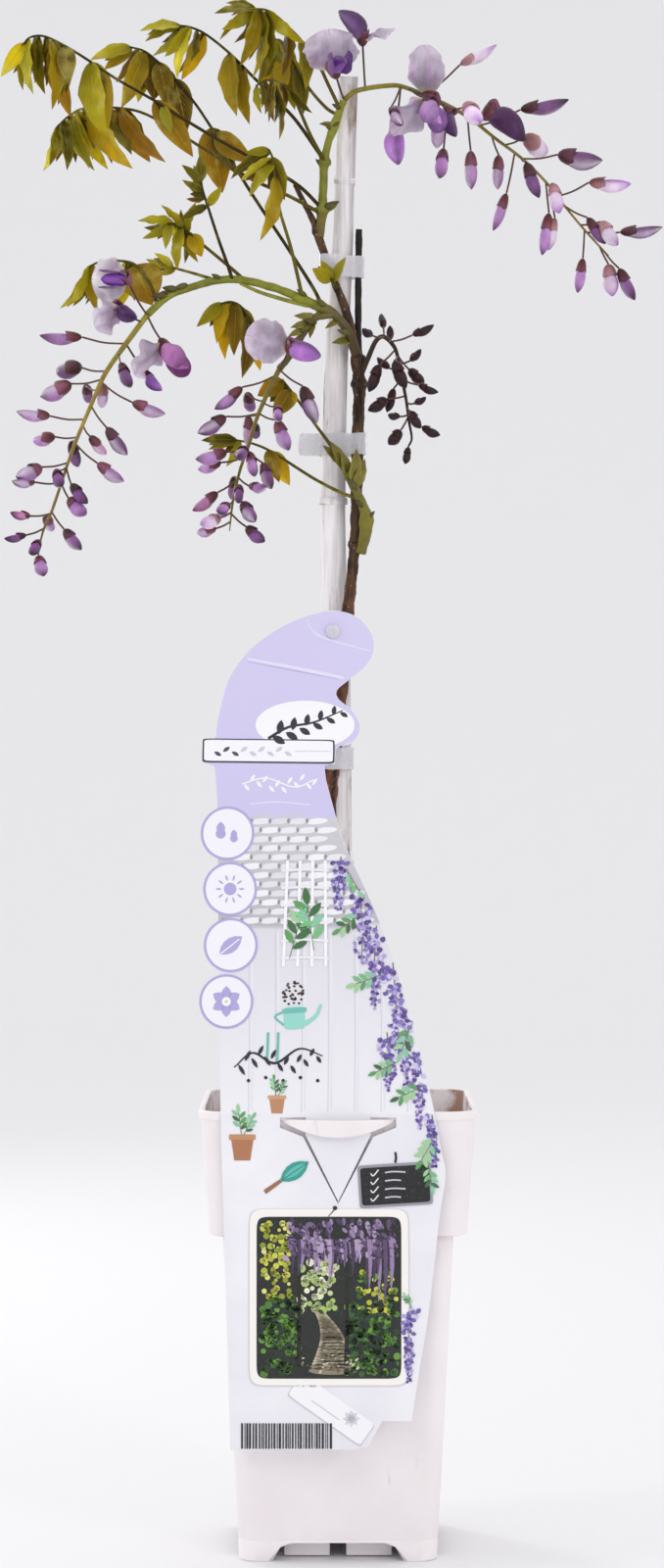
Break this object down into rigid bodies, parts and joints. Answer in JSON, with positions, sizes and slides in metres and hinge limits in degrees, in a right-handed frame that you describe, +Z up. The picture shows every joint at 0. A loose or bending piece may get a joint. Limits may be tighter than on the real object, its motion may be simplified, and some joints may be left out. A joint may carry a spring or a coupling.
{
  "type": "wisteria in a pot",
  "caption": "Young climbing wisteria in a tall square nursery pot, with hanging lilac racemes, a bamboo cane, clear ties and a large die-cut hang card.",
  "frame": {"origin": "middle of the footprint box of the whole plant and pot, on the surface that the pot's feet stand on", "axes": "+Z up along the cane, +X to the right and -Y towards the front, where the hang card is"},
  "size_m": [0.3352, 0.1456, 0.7836],
  "materials": {
    "pot": "satin warm white moulded plastic with fine scuffs",
    "soil": "damp fibrous potting compost",
    "cane": "bamboo with a worn white coat",
    "wood": "rough reddish brown bark",
    "shoot": "smooth green to bronze young stem",
    "leaf": "soft thin leaf, green to bronze, slightly translucent",
    "bloom": "velvety lilac petals with maroon calyces",
    "dark_bloom": "closed dark maroon buds",
    "card": "smooth printed card with a soft sheen",
    "pin": "clear moulded plastic",
    "tie": "clear tying tape, slightly crumpled"
  },
  "bodies": {
    "root": {"pot": "pot", "soil": "soil", "bamboo_cane": "cane", "trunk": "wood", "shoot_upper": "shoot", "shoot_left": "shoot", "spur_middle": "shoot", "shoot_lower": "shoot", "leaf_long_left": "leaf", "leaf_high_left": "leaf", "leaf_upper_arch": "leaf", "leaf_crown": "leaf", "leaf_crown_back": "leaf", "leaf_crown_low": "leaf", "leaf_low_left": "leaf", "leaf_inner": "leaf", "leaf_spray_tall": "leaf", "leaf_spray_mid": "leaf", "leaf_spray_low": "leaf", "leaf_behind_raceme": "leaf", "leaf_centre": "leaf", "leaf_lower": "leaf", "leaf_young": "leaf", "raceme_left": "bloom", "raceme_middle": "bloom", "raceme_right": "dark_bloom", "raceme_upper_right": "bloom", "hang_card": "card", "push_pin": "pin", "tie_upper": "tie", "tie_middle": "tie", "tie_lower": "tie"}
  },
  "joints": []
}
